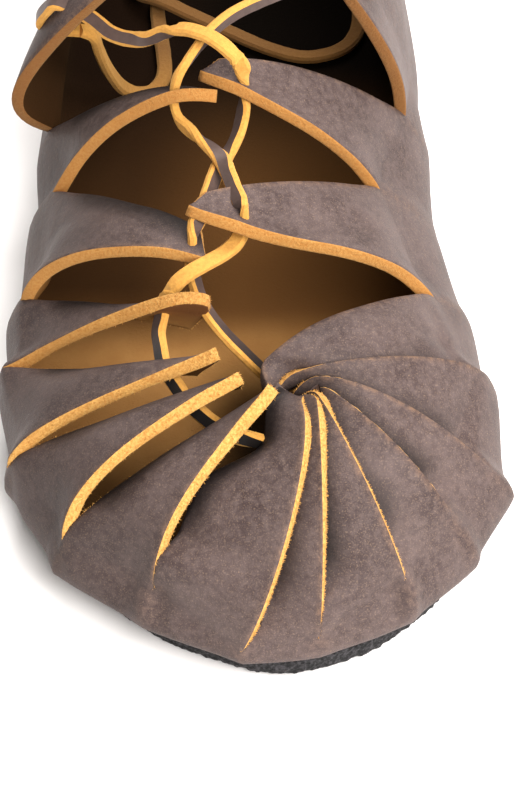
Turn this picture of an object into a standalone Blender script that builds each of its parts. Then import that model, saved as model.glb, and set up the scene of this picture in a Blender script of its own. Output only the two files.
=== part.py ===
"""Laced leather sandal for the right foot: one hide wrapped up round the foot, on a glued sole.

The hide is cut from its edge into strips. Round the toe the strips fan over one another and a
thong gathers their tips; along the foot they are straps that the thong laces together.

Tables are in millimetres, in the last's own frame: x runs to the inner (big toe) side, y from the
toe's tip back to the heel, z up from the floor. The finished objects are in metres, with the
world's origin on the floor under the middle of the sandal.
"""

from collections import namedtuple

import bmesh
import bpy
import numpy as np
from mathutils import Vector

MM = 0.001
GAP = 0.3

# Sizes of the sandal
HIDE = 2.2
SOLE_THICKNESS = 5.0
SOLE_ROUND = 0.7
TOE_SPRING = 1.2
SPRING_START = 38.0
FEATHER_INSET = 3.0
SLIT_WIDTH = 1.8
STEP_HEIGHT = 1.8
STEP_RUN = 1.5
STRIP_CROWN = 1.0

# How roundly the wall leaves the sole and how upright it stands at the roots, as shares
WALL_ROUND = 0.95
WALL_UPRIGHT = 0.6

# Colours of the grain, the sole and the lace's cut sides, as linear values, and how dull they are
HIDE_COLOUR = (0.075, 0.048, 0.037)
SOLE_COLOUR = (0.018, 0.018, 0.02)
LACE_COLOUR = (0.42, 0.22, 0.07)
HIDE_ROUGHNESS = 0.6
SOLE_ROUGHNESS = 0.9
LACE_ROUGHNESS = 0.7

# Faces across a strip, between two rows of a quarter, across its front panel, up the wall, along a
# strip and along it until a step is full
STRIP_COLUMNS = 4
QUARTER_STEPS = 3
QUARTER_COLUMNS = 3
WALL_ROWS = 4
STRIP_ROWS = 9
STEP_ROWS = 4
# Rounds of evening out the wall's direction
WALL_EVENING = 5
# Samples between two corners of the sole's outline, round the feather line and round the sole's rim
SPAN_SAMPLES = 40
FEATHER_SAMPLES = 480
SOLE_SAMPLES = 80

UP = np.array([0.0, 0.0, 1.0])

# Outline of the sole, toe to heel: distance from the toe, then outer and inner side
SoleRow = namedtuple("SoleRow", "y outer inner")
SOLE_TOE = (3.0, 3.4)
SOLE_HEEL = (-8.0, 266.0)
SOLE_ROWS = [
    SoleRow(8.0, -13.0, 19.5),
    SoleRow(14.0, -24.0, 28.0),
    SoleRow(24.0, -35.0, 37.5),
    SoleRow(40.0, -46.0, 45.0),
    SoleRow(56.0, -50.5, 46.0),
    SoleRow(75.0, -52.0, 43.0),
    SoleRow(95.0, -50.0, 36.5),
    SoleRow(130.0, -46.5, 31.0),
    SoleRow(165.0, -44.0, 28.0),
    SoleRow(200.0, -42.5, 25.5),
    SoleRow(233.0, -39.5, 23.0),
    SoleRow(253.0, -31.0, 15.5),
    SoleRow(262.5, -20.5, 4.5),
]

# A pull bends an edge between its root and its tip: inwards and up from the root, outwards and
# down from the tip, and sideways (towards the inner side of the foot) over its whole length.
Pull = namedtuple("Pull", "inward rise outward drop sway", defaults=[0])
# A slit between two strips, from the outer ankle round the toe to the inner ankle: where it starts
# in the wall, how far the wall bellies out below it, then the tip and pull of the strip that ends
# there and of the one that starts there. A slit with one tip is a step, where the first strip lies
# on the next.
Slit = namedtuple("Slit", "root belly tip pull next_tip next_pull", defaults=[None, None])
SLITS = {
    "ankle_outer": Slit((-50, 137, 27), 5, (-20, 141, 84), Pull(-24, 12, 16, 12),
                        (-15.5, 120, 60), Pull(6, 8, 14, 5)),
    "instep_outer": Slit((-48, 117, 28), 9, (-13, 115.5, 60), Pull(5, 12, 15, 4),
                         (-14, 87, 49.5), Pull(8, 8, 14, 1)),
    "ball_outer": Slit((-54, 88, 24), 6, (-11, 79, 49), Pull(4, 14, 18, -2),
                       (-15, 72, 37), Pull(9, 7, 10, 0)),
    "toe_1": Slit((-57.5, 72, 20), 3, (-13.5, 68, 47), Pull(16, 6, 9, -1),
                  (-12, 58, 36), Pull(15, 3, 12, 2)),
    "toe_2": Slit((-55.5, 45, 19), 2, (-10.5, 53.5, 47), Pull(6, 9, 14, 6),
                  (-8, 50, 36), Pull(10, 7, 10, 2)),
    "toe_3": Slit((-43, 25.5, 19), 5, (-5.5, 47.5, 46), Pull(3, 11, 14, 5),
                  (-3, 46, 36), Pull(8, 7, 10, -1)),
    "toe_4": Slit((-23.5, 13.5, 17), 6, (1.5, 43, 46), Pull(2, 11, 12, 5),
                  (0, 41.5, 36), Pull(6, 8, 10, -3)),
    "toe_5": Slit((-5, 1.5, 12), 1, (7.5, 42, 43), Pull(0, 18, 14, -3, 5)),
    "toe_6": Slit((11, 4, 13), 2, (11.5, 44, 42), Pull(0, 17, 14, -3, 3)),
    "toe_7": Slit((29, 14, 20), 5, (14, 46.8, 41), Pull(2, 13, 14, -3)),
    "toe_8": Slit((39, 29, 23), 9.5, (14, 50.2, 40), Pull(3, 9, 14, -3)),
    "toe_9": Slit((49, 46, 19), 8, (11, 53, 39.5), Pull(4, 8, 14, -5)),
    "toe_10": Slit((48.5, 68, 21), 4, (6, 54, 39), Pull(4, 11, 12, -6)),
    "ball_inner": Slit((37, 88, 25), 13, (-1.5, 56, 41), Pull(6, 8, 14, -8),
                       (-16, 86.5, 56), Pull(8, 5, 22, 6)),
    "instep_inner": Slit((25.5, 114, 32), 18, (-13, 91.5, 56), Pull(4, 6, 16, 3),
                         (-14.5, 121, 62), Pull(3, 9, 16, 3)),
    "ankle_inner": Slit((32, 141, 28), 9, (-10, 125.5, 62), Pull(6, 10, 16, 3),
                        (9, 142, 84), Pull(-2, 20, 6, 16)),
}

# The quarters behind the last slits, round the heel from the outer ankle to the inner one: the
# waist of the wall and its belly, the collar above it and the pull between them
Quarter = namedtuple("Quarter", "root belly tip pull")
QUARTERS = [
    Quarter((-49.5, 152, 27), 4, (-24, 153, 86), Pull(-12, 20, 12, 16)),
    Quarter((-48.5, 168, 27), 4, (-31, 169, 81), Pull(-4, 22, 5, 18)),
    Quarter((-46.5, 194, 27), 4, (-35, 196, 70), Pull(0, 18, 2, 14)),
    Quarter((-43.5, 226, 28), 3, (-34, 226, 64), Pull(0, 14, 1, 12)),
    Quarter((-31.5, 257.5, 28), 3, (-25, 252, 64), Pull(0, 14, 0, 12)),
    Quarter((-8, 270, 29), 3, (-8, 264, 66), Pull(0, 14, -1, 12)),
    Quarter((16, 257.5, 28), 3, (9.5, 252, 64), Pull(0, 14, 0, 12)),
    Quarter((27.5, 226, 28), 3, (18, 226, 64), Pull(0, 14, 1, 12)),
    Quarter((31, 194, 27), 4, (20, 196, 70), Pull(0, 18, 2, 14)),
    Quarter((33.5, 168, 27), 4, (18.5, 169, 81), Pull(-2, 22, 5, 18)),
    Quarter((33.5, 154, 27), 4, (13, 153, 86), Pull(-2, 22, 6, 18)),
]

# Where the lace passes square through a strap or a quarter: a point on its grain side
EYELET_RADIUS = 2.6
PUNCH_LENGTH = 11.0
PUNCH_SIDES = 10
EYELETS = {
    "ball_strap_outer": (-15, 82.5, 50),
    "ball_strap_inner": (-4.5, 91, 52),
    "instep_strap_outer": (-19.5, 118, 58),
    "instep_strap_inner": (-4.5, 122, 59.5),
    "quarter_outer_front": (-41, 143, 60),
    "quarter_outer_back": (-44.5, 147, 50),
    "quarter_inner_front": (18.5, 147, 65.5),
    "quarter_inner_back": (23, 152, 53),
}

# The lace as a round thong of the same cross-section as the real flat one
LACE_RADIUS = 1.5
LACE_ROUNDING = 2
LACE_STEP = 5.0
# It gathers the toe tabs, from under the inner ball strap to the outer one
LACE_TOE = [
    (2.5, 56.3, 32.5),
    (7, 53, 31),
    (9.5, 48, 30.5),
    (8, 42, 31.5),
    (5.3, 37.6, 34.5),
    (2.8, 36, 38.5),
    (0.8, 36.4, 41),
    (-2.3, 38, 41),
    (-5.5, 40.5, 39.5),
    (-10, 43.5, 38.5),
    (-14.5, 46.5, 38.5),
    (-17.5, 51, 38.5),
    (-19.5, 56, 38.5),
    (-22.5, 63.5, 39.5),
    (-22.2, 70.5, 41),
]
# Tabs that it passes through, and the point of its route in each
TOE_EYELETS = {"toe_tab_5": 5, "toe_tab_4": 8, "toe_tab_3": 10, "toe_tab_2": 12, "toe_tab_1": 14}
# It crosses three times up the foot, each time as two joined strands
LACE_CROSSINGS = {
    "lace_cross_ball": (
        [(-21.5, 73.2, 42.5), (-19, 74.2, 47), (-14, 75.6, 49.2), (-10.5, 79.5, 51.2), (-8, 83.5, 49.3),
         (-6.5, 86.5, 46.5), (-5, 90.5, 45.5)],
        [(-0.5, 57.5, 34.5), (-5, 61, 38), (-9, 66, 41.5), (-10.8, 70.5, 44.5), (-14, 75.6, 47),
         (-14.8, 80, 44.6), (-15, 83, 44.2)]),
    "lace_cross_instep": (
        [(-4.5, 91.5, 55.5), (-5.8, 95, 55.5), (-8, 101, 52.8), (-9.5, 104.5, 52.2), (-13.5, 108.5, 52.5),
         (-18, 113, 53.3), (-19.5, 118, 52.8)],
        [(-15, 82, 51.5), (-14.5, 87, 50.9), (-13, 93, 51), (-11, 100.5, 50.6), (-9.5, 104.5, 50),
         (-7, 110, 52), (-5, 116, 53.6), (-4.3, 122, 54)]),
    "lace_cross_ankle": (
        [(-19.5, 118.5, 60.8), (-17, 121.5, 64), (-13, 126, 66.5), (-8, 130, 67.5), (0, 135, 67.5),
         (8, 140.5, 66.5), (14.5, 145.5, 65)],
        [(-4.5, 122, 62.6), (-5, 121.3, 66), (-8.5, 123, 68.5), (-13, 126, 68.7), (-19, 128.5, 66.5),
         (-25, 131, 60.5), (-32, 136, 57.5), (-37, 141, 58.8)]),
}
# Its two ends hang from the quarters and lie loose on the hide in the heel
LACE_ENDS = {
    "lace_end_outer": [
        (-41, 146.5, 50), (-39.5, 150, 43), (-37, 155, 32), (-33.5, 161, 18), (-30.5, 165, 11.8),
        (-26.8, 168, 9.6), (-24.4, 173, 9.6), (-24.8, 181, 9.6), (-26, 190, 9.6), (-26.5, 199, 9.6),
        (-25, 209, 9.6), (-19, 218, 9.6), (-10, 222, 9.6), (-2, 218, 9.6)],
    "lace_end_inner": [
        (19.5, 152.5, 53), (20.5, 159, 48), (21.5, 170, 41), (22.5, 183, 32), (23, 194, 22),
        (22.6, 199, 15), (22.4, 196, 10.3), (22.5, 190, 9.6), (20.5, 184, 9.6), (15.5, 180, 9.6),
        (8.5, 179, 9.6), (0.5, 182.5, 9.6), (-8, 187.5, 9.8), (-17, 192, 11.2), (-25, 195, 13),
        (-31.5, 198.5, 11), (-34, 205, 9.6), (-33.5, 214, 9.6)],
}

Edge = namedtuple("Edge", "root belly curve")
# A strip between two edges, and how it meets the next: joined, closed by a step, or open
Strip = namedtuple("Strip", "first last columns crown joint")


def bezier(points, t):
    """Points of a cubic curve at each share t of its run."""
    a, b, c, d = (np.asarray(p, float) for p in points)
    t = np.asarray(t, float)[:, None]
    return a * (1 - t) ** 3 + 3 * b * t * (1 - t) ** 2 + 3 * c * t**2 * (1 - t) + d * t**3


def smooth_loop(corners, samples):
    """A closed plan curve through the corners, with evenly spread samples."""
    corners = np.asarray(corners, float)
    before, after, beyond = np.roll(corners, 1, 0), np.roll(corners, -1, 0), np.roll(corners, -2, 0)
    spans = []
    for p, q, r, s in zip(before, corners, after, beyond):
        third = np.linalg.norm(r - q) / 3
        lean_q = (r - p) / np.linalg.norm(r - p) * third
        lean_r = (s - q) / np.linalg.norm(s - q) * third
        spans.append(bezier((q, q + lean_q, r - lean_r, r), np.linspace(0, 1, SPAN_SAMPLES)[:-1]))
    dense = np.concatenate([*spans, spans[0][:1]])
    run = np.concatenate([[0], np.cumsum(np.linalg.norm(np.diff(dense, axis=0), axis=1))])
    at = np.linspace(0, run[-1], samples, endpoint=False)
    return np.stack([np.interp(at, run, dense[:, k]) for k in range(2)], -1)


def outward_of(loop):
    """Outward normals of a plan curve that runs from the heel down the outer side to the toe."""
    along = np.roll(loop, -1, 0) - np.roll(loop, 1, 0)
    normal = np.stack([along[:, 1], -along[:, 0]], -1)
    return normal / np.linalg.norm(normal, axis=1)[:, None]


def sole_loop(samples):
    """The sole's plan outline, from the heel along the outer side to the toe and back."""
    outer = [(row.outer, row.y) for row in reversed(SOLE_ROWS)]
    inner = [(row.inner, row.y) for row in SOLE_ROWS]
    return smooth_loop([SOLE_HEEL, *outer, SOLE_TOE, *inner], samples)


def toe_spring(y):
    """How far the toe lifts off the floor at a distance from its tip."""
    share = np.clip((SPRING_START - np.asarray(y, float)) / SPRING_START, 0, 1)
    return TOE_SPRING * share**2


SOLE_FINE = sole_loop(FEATHER_SAMPLES)
SOLE_OUTWARD = outward_of(SOLE_FINE)
FEATHER = SOLE_FINE - FEATHER_INSET * SOLE_OUTWARD


def feather_place(root):
    """The sample of the feather line that lies nearest to a root."""
    return int(np.argmin(np.linalg.norm(FEATHER - np.asarray(root[:2], float), axis=1)))


def feather_point(place):
    """Point and outward direction of the feather line, between samples too."""
    near, share = int(place) % FEATHER_SAMPLES, place % 1
    far = (near + 1) % FEATHER_SAMPLES
    plan = FEATHER[near] * (1 - share) + FEATHER[far] * share
    out = SOLE_OUTWARD[near] * (1 - share) + SOLE_OUTWARD[far] * share
    return np.array([*plan, SOLE_THICKNESS + GAP + toe_spring(plan[1])]), np.array([*out, 0.0])


def wall_profile(place, edge):
    """The wall from the feather line out and up to a root, rounded where it leaves the sole."""
    foot, out = feather_point(place)
    root = np.asarray(edge.root, float)
    reach = (root - foot) @ out + edge.belly
    bend = foot + out * reach * WALL_ROUND
    rise = root + out * edge.belly - UP * (root[2] - foot[2]) * WALL_UPRIGHT
    return bezier((foot, bend, rise, root), np.linspace(0, 1, WALL_ROWS + 1))


def edge_curve(root, tip, pull):
    """An edge of a strip from its root to its tip."""
    root, tip = np.asarray(root, float), np.asarray(tip, float)
    inward = (tip - root) * (1, 1, 0)
    inward /= np.linalg.norm(inward)
    first = root + inward * pull.inward + UP * pull.rise
    second = tip - inward * pull.outward - UP * pull.drop
    sway = np.array([pull.sway, 0, 0])
    return bezier((root, first + sway, second + sway, tip), np.linspace(0, 1, STRIP_ROWS + 1))


def quarter_edges():
    """Upright lines of the quarters, smoothed between the rows of the table."""
    rows = np.array([[*row.root, row.belly, *row.tip, *row.pull] for row in QUARTERS], float)
    rows = np.concatenate([rows[:1] * 2 - rows[1:2], rows, rows[-1:] * 2 - rows[-2:-1]])
    edges = []
    for p, q, r, s in zip(rows, rows[1:], rows[2:], rows[3:]):
        steps = np.linspace(0, 1, QUARTER_STEPS + 1)[:-1]
        edges += list(bezier((q, q + (r - p) / 6, r - (s - q) / 6, r), steps))
    edges.append(rows[-2])
    return [Edge(e[:3], e[3], edge_curve(e[:3], e[4:7], Pull(*e[7:]))) for e in edges]


def strip_list():
    """Every strip in order, from the heel along the outer side, round the toe and back."""
    slits = SLITS.values()
    behind = quarter_edges()
    half = len(behind) // 2
    ending = [Edge(s.root, s.belly, edge_curve(s.root, s.tip, s.pull)) for s in slits]
    starting = [Edge(s.root, s.belly, edge_curve(s.root, s.next_tip or s.tip, s.next_pull or s.pull))
                for s in slits]
    joints = ["open" if s.next_tip else "step" for s in slits]
    outer = [*behind[half::-1], ending[0]]
    inner = [starting[-1], *behind[:half - 1:-1]]
    whole = [Strip(a, b, 1, 0, "joined") for a, b in zip(outer, outer[1:])]
    whole[-1] = whole[-1]._replace(columns=QUARTER_COLUMNS, joint="open")
    for first, last, joint in zip(starting, ending[1:], joints[1:]):
        whole.append(Strip(first, last, STRIP_COLUMNS, STRIP_CROWN, joint))
    whole.append(Strip(inner[0], inner[1], QUARTER_COLUMNS, 0, "joined"))
    return whole + [Strip(a, b, 1, 0, "joined") for a, b in zip(inner[1:], inner[2:])]


def strip_points(strip, before):
    """Points of one strip by column and row, from the feather line to its tip.

    An open slit on either side narrows the strip by half the slit's width. After a step the strip
    starts lower and a little further on, from the root upwards.
    """
    start, end = feather_place(strip.first.root), feather_place(strip.last.root)
    end += FEATHER_SAMPLES if end < start else 0
    along = np.subtract(strip.last.root, strip.first.root)
    along = along / np.linalg.norm(along)
    first = strip.first.curve + along * (SLIT_WIDTH / 2 if before == "open" else 0)
    last = strip.last.curve - along * (SLIT_WIDTH / 2 if strip.joint == "open" else 0)
    if before == "step":
        growth = np.clip(np.arange(STRIP_ROWS + 1) / STEP_ROWS, 0, 1)[:, None]
        first += (along * STEP_RUN - UP * STEP_HEIGHT) * growth
    first = np.concatenate([wall_profile(start, strip.first)[:-1], first])
    last = np.concatenate([wall_profile(end, strip.last)[:-1], last])
    low = np.clip(1 - np.arange(WALL_ROWS + STRIP_ROWS + 1) / WALL_ROWS, 0, 1)[:, None] ** 2
    high = np.sin(np.pi * np.clip(np.arange(-WALL_ROWS, STRIP_ROWS + 1) / STRIP_ROWS, 0, 1))[:, None]
    columns = []
    for share in np.linspace(0, 1, strip.columns + 1):
        line = first * (1 - share) + last * share
        foot, _ = feather_point(start + (end - start) * share)
        columns.append(line + (foot - line[0]) * low + UP * strip.crown * np.sin(np.pi * share) * high)
    return columns


def hide_sheet():
    """The hide's grain side as one open sheet: base, walls and strips."""
    sheet = bmesh.new()
    rows = WALL_ROWS + STRIP_ROWS
    whole = strip_list()
    placed = {}

    def vertex(key, row, point):
        if (key, row) not in placed:
            placed[key, row] = sheet.verts.new(Vector(point) * MM)
        return placed[key, row]

    def seam_key(number, row):
        """The line between strip `number` and the next: shared below the slit, or all the way up."""
        joint = whole[number].joint
        shared_rows = {"joined": rows + 1, "step": WALL_ROWS + 1, "open": WALL_ROWS}[joint]
        return ("seam", number) if row < shared_rows else None

    feather = []
    for number, strip in enumerate(whole):
        behind = (number - 1) % len(whole)
        grid = []
        for column, points in enumerate(strip_points(strip, whole[behind].joint)):
            line = []
            for row, point in enumerate(points):
                key = ("strip", number, column)
                if column == 0:
                    key = seam_key(behind, row) or key
                if column == strip.columns:
                    key = seam_key(number, row) or key
                line.append(vertex(key, row, point))
            grid.append(line)
        if whole[behind].joint == "step":
            grid.insert(0, last_column)
        for left, right in zip(grid, grid[1:]):
            for row in range(rows):
                corners = dict.fromkeys((left[row], right[row], right[row + 1], left[row + 1]))
                if len(corners) > 2:
                    sheet.faces.new(corners)
        last_column = grid[-1]
        feather += [line[0] for line in grid[:-1] if line[0] not in feather]
    for near in range(len(feather) // 2):
        ladder = (-near, -near - 1, near + 1, near)
        corners = dict.fromkeys(feather[place % len(feather)] for place in ladder)
        if len(corners) > 2:
            sheet.faces.new(corners)
    return sheet


def thicken(sheet):
    """Closes the grain sheet to a wall with a flesh side towards the foot and a cut edge all round.

    The wall's direction is evened out over neighbouring points, so that it runs on past a step.
    """
    sheet.normal_update()
    grain = list(sheet.verts)
    inward = {point: -point.normal for point in grain}
    for _ in range(WALL_EVENING):
        inward = {point: sum((inward[edge.other_vert(point)] for edge in point.link_edges), inward[point])
                  .normalized() for point in grain}
    flesh = {point: sheet.verts.new(point.co + inward[point] * HIDE * MM) for point in grain}
    rims = [edge for edge in sheet.edges if edge.is_boundary]
    for face in list(sheet.faces):
        sheet.faces.new([flesh[point] for point in reversed(face.verts)])
    for edge in rims:
        along = edge.link_loops[0]
        near, far = along.vert, along.link_loop_next.vert
        sheet.faces.new((far, near, flesh[near], flesh[far]))


def add_object(name, data, material, collection):
    """A new object of the given mesh or curve, with its material."""
    thing = bpy.data.objects.new(name, data)
    thing.data.materials.append(material)
    collection.objects.link(thing)
    return thing


def finish_material(name, colour, roughness):
    """A plain finish with the colour and roughness of the real material."""
    material = bpy.data.materials.new(name)
    material.use_nodes = True
    shader = material.node_tree.nodes["Principled BSDF"]
    shader.inputs["Base Color"].default_value = (*colour, 1)
    shader.inputs["Roughness"].default_value = roughness
    shader.inputs["Metallic"].default_value = 0
    return material


def make_upper(collection):
    """The hide: a sheet cut into strips, with its real thickness."""
    mesh = bpy.data.meshes.new("upper")
    sheet = hide_sheet()
    thicken(sheet)
    sheet.to_mesh(mesh)
    sheet.free()
    mesh.shade_smooth()
    leather = finish_material("oiled_hide", HIDE_COLOUR, HIDE_ROUGHNESS)
    return add_object("upper", mesh, leather, collection)


def make_outsole(collection):
    """The sole: its outline in four levels with rounded rims, closed by rungs from side to side."""
    loop = sole_loop(SOLE_SAMPLES)
    inset = loop - SOLE_ROUND * outward_of(loop)
    lift = toe_spring(loop[:, 1])
    levels = [(inset, 0), (loop, SOLE_ROUND), (loop, SOLE_THICKNESS - SOLE_ROUND), (inset, SOLE_THICKNESS)]
    body = bmesh.new()
    rings = []
    for plan, height in levels:
        rings.append([body.verts.new(Vector((x, y, height + up)) * MM) for (x, y), up in zip(plan, lift)])
    for low, high in zip(rings, rings[1:]):
        for place in range(SOLE_SAMPLES):
            following = (place + 1) % SOLE_SAMPLES
            body.faces.new((low[place], low[following], high[following], high[place]))
    for ring, turned in ((rings[0], True), (rings[-1], False)):
        for near in range(SOLE_SAMPLES // 2):
            rung = (near, near + 1, -near - 1, -near)
            corners = list(dict.fromkeys(ring[place % SOLE_SAMPLES] for place in rung))
            if len(corners) > 2:
                body.faces.new(reversed(corners) if turned else corners)
    mesh = bpy.data.meshes.new("outsole")
    body.to_mesh(mesh)
    body.free()
    rubber = finish_material("crepe_rubber", SOLE_COLOUR, SOLE_ROUGHNESS)
    return add_object("outsole", mesh, rubber, collection)


def punch(upper, name, point, axis, cutters):
    """Punches one hole for the lace through the hide, along the axis."""
    bpy.ops.mesh.primitive_cylinder_add(vertices=PUNCH_SIDES, radius=EYELET_RADIUS * MM,
                                        depth=PUNCH_LENGTH * MM)
    tool = bpy.context.active_object
    tool.name = "punch_" + name
    tool.location = point
    tool.rotation_euler = axis.to_track_quat("Z", "Y").to_euler()
    for home in list(tool.users_collection):
        home.objects.unlink(tool)
    cutters.objects.link(tool)
    tool.hide_render = True
    tool.display_type = "WIRE"
    cut = upper.modifiers.new("eyelet " + name, "BOOLEAN")
    cut.operation = "DIFFERENCE"
    cut.solver = "EXACT"
    cut.object = tool


def cut_eyelets(upper, cutters):
    """The lace's holes: square through the straps, and along its run through the toe tabs."""
    for name, place in EYELETS.items():
        _, point, normal, _ = upper.closest_point_on_mesh(Vector(place) * MM)
        punch(upper, name, point, normal, cutters)
    run = np.gradient(np.array(LACE_TOE, float), axis=0)
    for name, stop in TOE_EYELETS.items():
        punch(upper, name, Vector(LACE_TOE[stop]) * MM, Vector(run[stop]), cutters)


def thong(name, route, collection):
    """A stretch of lace: a tube along a smooth curve through the points of its route."""
    route = np.array(route, float)
    route = np.concatenate([route[:1] * 2 - route[1:2], route, route[-1:] * 2 - route[-2:-1]])
    points = []
    for p, q, r, s in zip(route, route[1:], route[2:], route[3:]):
        steps = max(int(np.ceil(np.linalg.norm(r - q) / LACE_STEP)), 1)
        points += list(bezier((q, q + (r - p) / 6, r - (s - q) / 6, r), np.linspace(0, 1, steps + 1)[:-1]))
    points.append(route[-2])
    curve = bpy.data.curves.new(name, "CURVE")
    curve.dimensions = "3D"
    curve.bevel_depth = LACE_RADIUS * MM
    curve.bevel_resolution = LACE_ROUNDING
    curve.use_fill_caps = True
    spline = curve.splines.new("POLY")
    spline.points.add(len(points) - 1)
    for control, point in zip(spline.points, points):
        control.co = (*(point * MM), 1)
    return add_object(name, curve, LACE_FINISH, collection)


def as_mesh(tube, collection):
    """The tube as a closed mesh, in place of its curve."""
    graph = bpy.context.evaluated_depsgraph_get()
    mesh = bpy.data.meshes.new_from_object(tube.evaluated_get(graph))
    body = bmesh.new()
    body.from_mesh(mesh)
    bmesh.ops.remove_doubles(body, verts=body.verts, dist=GAP * MM / 100)
    body.to_mesh(mesh)
    body.free()
    name = tube.name
    bpy.data.objects.remove(tube)
    return add_object(name, mesh, LACE_FINISH, collection)


def make_crossing(name, strands, collection, cutters):
    """Two strands of the lace, joined where one lies on the other."""
    over = as_mesh(thong(name, strands[0], collection), collection)
    under = as_mesh(thong(name + "_under", strands[1], cutters), cutters)
    over.name = name
    under.hide_render = True
    under.display_type = "WIRE"
    join = over.modifiers.new("crossing", "BOOLEAN")
    join.operation = "UNION"
    join.solver = "EXACT"
    join.object = under
    return over


def stand_on_origin(parts, others, holder):
    """Parents everything to the holder and moves it so that the parts stand centred on the origin."""
    bpy.context.view_layer.update()
    graph = bpy.context.evaluated_depsgraph_get()
    corners = np.array([corner for part in parts for corner in part.evaluated_get(graph).bound_box])
    low, high = corners.min(0), corners.max(0)
    centre = Vector(((low[0] + high[0]) / 2, (low[1] + high[1]) / 2, low[2]))
    for part in parts + others:
        part.parent = holder
    holder.location = -centre
    bpy.context.view_layer.update()


for old in list(bpy.data.objects):
    bpy.data.objects.remove(old)
sandal = bpy.data.collections.new("leather_sandal")
cutting = bpy.data.collections.new("cutters")
bpy.context.scene.collection.children.link(sandal)
bpy.context.scene.collection.children.link(cutting)
standing = bpy.data.objects.new("sandal_on_floor", None)
sandal.objects.link(standing)
LACE_FINISH = finish_material("leather_thong", LACE_COLOUR, LACE_ROUGHNESS)
outsole = make_outsole(sandal)
upper = make_upper(sandal)
bpy.context.view_layer.update()
cut_eyelets(upper, cutting)
laced = [as_mesh(thong("lace_toe", LACE_TOE, sandal), sandal)]
laced += [make_crossing(name, strands, sandal, cutting) for name, strands in LACE_CROSSINGS.items()]
ends = [thong(name, route, sandal) for name, route in LACE_ENDS.items()]
stand_on_origin([outsole, upper, *laced], [*ends, *cutting.objects], standing)
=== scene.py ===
import math
from collections import namedtuple

import bpy
import numpy as np
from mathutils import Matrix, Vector, noise


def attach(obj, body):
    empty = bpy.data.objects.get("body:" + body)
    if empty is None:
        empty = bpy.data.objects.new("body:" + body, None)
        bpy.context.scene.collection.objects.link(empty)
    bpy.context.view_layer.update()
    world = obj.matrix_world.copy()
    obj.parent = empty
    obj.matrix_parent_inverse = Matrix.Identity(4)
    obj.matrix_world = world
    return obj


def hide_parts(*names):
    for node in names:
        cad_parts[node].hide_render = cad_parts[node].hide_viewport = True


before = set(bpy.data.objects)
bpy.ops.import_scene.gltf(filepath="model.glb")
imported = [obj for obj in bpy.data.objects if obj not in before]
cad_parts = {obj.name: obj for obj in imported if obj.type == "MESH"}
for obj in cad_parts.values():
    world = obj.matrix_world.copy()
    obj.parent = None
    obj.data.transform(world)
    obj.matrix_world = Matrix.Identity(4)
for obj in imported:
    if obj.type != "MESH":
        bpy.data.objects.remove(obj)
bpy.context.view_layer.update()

# The studio: the sandal stands on a sheet of matt white paper, in weak light from all sides. One
# broad lamp stands before its inner side and a weaker one behind the heel. The camera looks down at
# the toe from the front.
MM = 0.001
# The model's origin in the last's own frame, in which every table here is: x to the inner side of
# the foot, y from the toe's tip back to the heel, z up from the floor, in millimetres
LAST_ORIGIN = np.array([-2.4965, 136.2975, 0.0])
LOOK_AT = (0, 46, 40)
CAMERA_DISTANCE = 700 * MM
CAMERA_ELEVATION = 50
SENSOR = 36.0
FOCAL_PIXELS = 3360
LONG_SIDE_PIXELS = 800


def placed(points):
    """Points of the last's frame, in millimetres, as metres in the model's frame."""
    return (np.asarray(points, float) - LAST_ORIGIN) * MM


def linear(code):
    """A shader colour from an sRGB hex code."""
    shares = [int(code[k:k + 2], 16) / 255 for k in (1, 3, 5)]
    return (*[s / 12.92 if s <= 0.04045 else ((s + 0.055) / 1.055) ** 2.4 for s in shares], 1)


def new_material(name, **shader_values):
    """A material with an empty Principled shader: the material, its tree and the shader."""
    material = bpy.data.materials.new(name)
    material.use_nodes = True
    shader = material.node_tree.nodes["Principled BSDF"]
    for socket, value in shader_values.items():
        shader.inputs[socket.replace("_", " ")].default_value = value
    return material, material.node_tree, shader


def new_piece(name, points, faces, materials, face_materials=None):
    """A mesh object of points in metres, with its materials and one material number a face."""
    mesh = bpy.data.meshes.new(name)
    mesh.from_pydata([tuple(p) for p in points], [], faces)
    for material in materials:
        mesh.materials.append(material)
    if face_materials is not None:
        mesh.polygons.foreach_set("material_index", np.asarray(face_materials, np.int32))
    mesh.polygons.foreach_set("use_smooth", np.full(len(mesh.polygons), True))
    mesh.update()
    piece = bpy.data.objects.new(name, mesh)
    bpy.context.scene.collection.objects.link(piece)
    return piece


tilt = math.radians(CAMERA_ELEVATION)
camera_data = bpy.data.cameras.new("studio_camera")
camera_data.sensor_width = SENSOR
camera_data.lens = FOCAL_PIXELS / LONG_SIDE_PIXELS * SENSOR
camera = bpy.data.objects.new("studio_camera", camera_data)
bpy.context.scene.collection.objects.link(camera)
camera.location = Vector(placed(LOOK_AT)) + Vector((0, -math.cos(tilt), math.sin(tilt))) * CAMERA_DISTANCE
camera.rotation_euler = (math.pi / 2 - tilt, 0, 0)
bpy.context.scene.camera = camera

FLOOR_HALF = 4.0
FLOOR_CORNERS = [(-1, -1), (1, -1), (1, 1), (-1, 1)]
paper, _, _ = new_material("white_paper", Base_Color=linear("#f6f6f5"), Roughness=0.9)
floor_points = [(x * FLOOR_HALF, y * FLOOR_HALF, 0) for x, y in FLOOR_CORNERS]
floor = new_piece("floor", floor_points, [(0, 1, 2, 3)], [paper])

sky = bpy.data.worlds.new("soft_studio")
bpy.context.scene.world = sky
sky.use_nodes = True
sky.node_tree.nodes["Background"].inputs["Color"].default_value = linear("#fff9f3")
sky.node_tree.nodes["Background"].inputs["Strength"].default_value = 0.4
# Paper white shows as white, and the hide's dark brown keeps its depth
bpy.context.scene.view_settings.view_transform = "Standard"

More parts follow.
